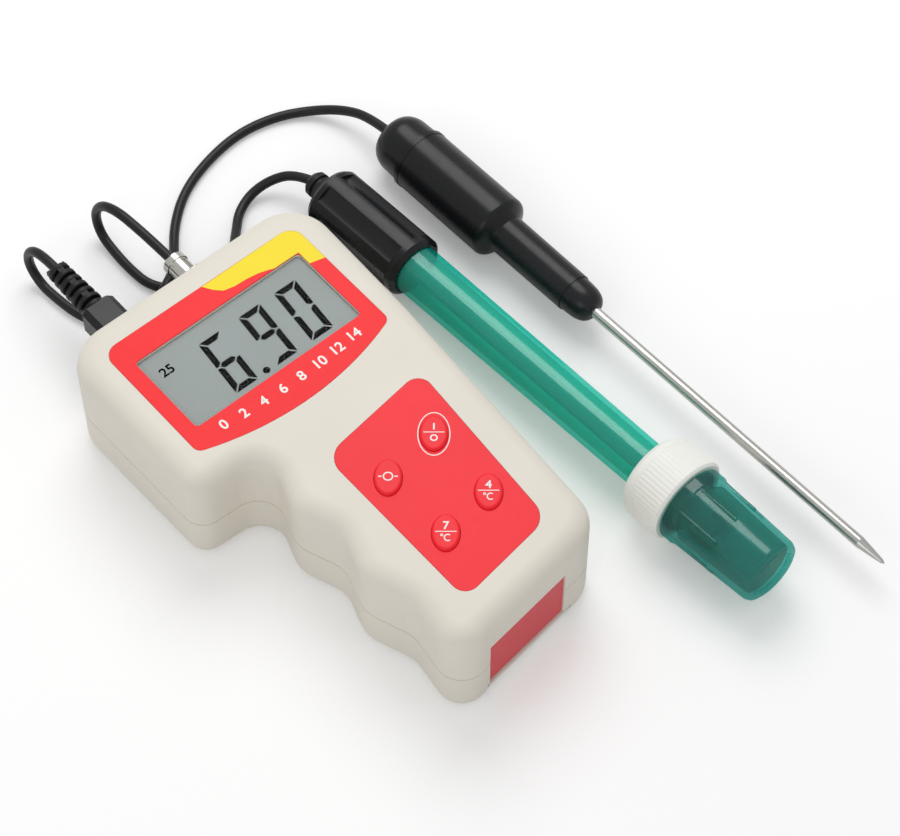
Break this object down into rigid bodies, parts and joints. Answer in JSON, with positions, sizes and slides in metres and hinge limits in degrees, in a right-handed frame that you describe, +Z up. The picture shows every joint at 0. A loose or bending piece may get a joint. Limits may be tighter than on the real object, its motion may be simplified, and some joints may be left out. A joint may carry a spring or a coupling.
{
  "type": "ph meter",
  "caption": "Handheld pH meter with a display head and gripped handle, a teal electrode in its storage bottle and a steel temperature probe, each on a thin lead.",
  "frame": {"origin": "on the floor under the middle of the meter's underside, on the display's centre line", "axes": "+Z up through the display; +Y towards the connector end of the meter; +X to the right of the display, where the electrode and the probe lie"},
  "size_m": [0.1265, 0.2102, 0.0338],
  "materials": {
    "case_plastic": "satin",
    "red_label": "gloss",
    "clear_window": "gloss",
    "display_glass": "gloss",
    "frame_plastic": "matte",
    "rubber_black": "matte",
    "key_plastic": "gloss",
    "plunger_plastic": "matte",
    "board_green": "satin",
    "screw_steel": "satin",
    "battery_case": "satin",
    "nickel": "gloss",
    "insulator_white": "matte",
    "gold_contact": "gloss",
    "gloss_black": "gloss",
    "teal_tube": "gloss",
    "teal_bottle": "gloss",
    "inner_glass": "gloss",
    "white_nut": "satin",
    "probe_steel": "satin",
    "thermistor_bead": "matte",
    "lead_black": "satin"
  },
  "bodies": {
    "meter": {"top_shell": "case_plastic", "bottom_shell": "case_plastic", "display_label": "red_label", "display_lens": "clear_window", "lcd_glass": "display_glass", "lcd_frame": "frame_plastic", "zebra_strips": "rubber_black", "keypad_overlay": "red_label", "end_label": "red_label", "switch_bodies": "plunger_plastic", "main_board": "board_green", "main_chip": "plunger_plastic", "board_parts": "plunger_plastic", "board_screws": "screw_steel", "case_screws": "screw_steel", "battery": "battery_case", "battery_contacts": "screw_steel", "contact_block": "frame_plastic", "bnc_jack": "nickel", "bnc_jack_insulator": "insulator_white", "bnc_jack_contact": "gold_contact", "bnc_jack_nut": "nickel", "bnc_plug": "nickel", "bnc_plug_pin": "gold_contact", "probe_jack": "frame_plastic", "probe_plug_pin": "nickel", "probe_plug_housing": "gloss_black", "probe_plug_relief": "rubber_black", "electrode_boot": "rubber_black", "electrode_cap": "gloss_black", "electrode_tube": "teal_tube", "glass_electrode": "inner_glass", "tip_seal": "frame_plastic", "bottle_oring": "rubber_black", "probe_handle_cap": "gloss_black", "probe_handle": "gloss_black", "probe_nose": "gloss_black", "probe_stem": "probe_steel", "thermistor": "thermistor_bead", "probe_lead_plug_side": "lead_black", "probe_lead_hank": "lead_black", "probe_lead_probe_side": "lead_black", "electrode_lead_plug_side": "lead_black", "electrode_lead_hank": "lead_black", "electrode_lead_probe_side": "lead_black", "lead_ties": "lead_black"},
    "power_key": {"key_power": "key_plastic", "plunger_power": "plunger_plastic"},
    "cal_key": {"key_cal": "key_plastic", "plunger_cal": "plunger_plastic"},
    "four_key": {"key_four": "key_plastic", "plunger_four": "plunger_plastic"},
    "seven_key": {"key_seven": "key_plastic", "plunger_seven": "plunger_plastic"},
    "battery_door": {"battery_door": "case_plastic", "battery_foam": "rubber_black"},
    "bnc_coupling": {"bnc_coupling": "nickel"},
    "storage_bottle": {"storage_bottle": "teal_bottle"},
    "collar_nut": {"collar_nut": "white_nut"}
  },
  "joints": [
    {"name": "power_press", "type": "slide", "parent": "meter", "child": "power_key", "axis": [0, 0, -1], "range_m": [0, 0.0006], "stiffness_N_per_m": 800, "springref_m": -0.0004},
    {"name": "cal_press", "type": "slide", "parent": "meter", "child": "cal_key", "axis": [0, 0, -1], "range_m": [0, 0.0006], "stiffness_N_per_m": 800, "springref_m": -0.0004},
    {"name": "four_press", "type": "slide", "parent": "meter", "child": "four_key", "axis": [0, 0, -1], "range_m": [0, 0.0006], "stiffness_N_per_m": 800, "springref_m": -0.0004},
    {"name": "seven_press", "type": "slide", "parent": "meter", "child": "seven_key", "axis": [0, 0, -1], "range_m": [0, 0.0006], "stiffness_N_per_m": 800, "springref_m": -0.0004},
    {"name": "door_slide", "type": "slide", "parent": "meter", "child": "battery_door", "axis": [0, -1, 0], "range_m": [0, 0.055]},
    {"name": "bayonet_turn", "type": "hinge", "parent": "meter", "child": "bnc_coupling", "pos_m": [0.0067, 0.0627, 0.0165], "axis": [0, 1, 0], "range_deg": [0, 90]},
    {"name": "bottle_slide", "type": "slide", "parent": "meter", "child": "storage_bottle", "axis": [0.0401, -0.9989, 0.024], "range_m": [0, 0.06]},
    {"name": "nut_turn", "type": "hinge", "parent": "meter", "child": "collar_nut", "pos_m": [0.05884, -0.05425, 0.01165], "axis": [0.0401, -0.9989, 0.024], "range_deg": [0, 360]}
  ]
}
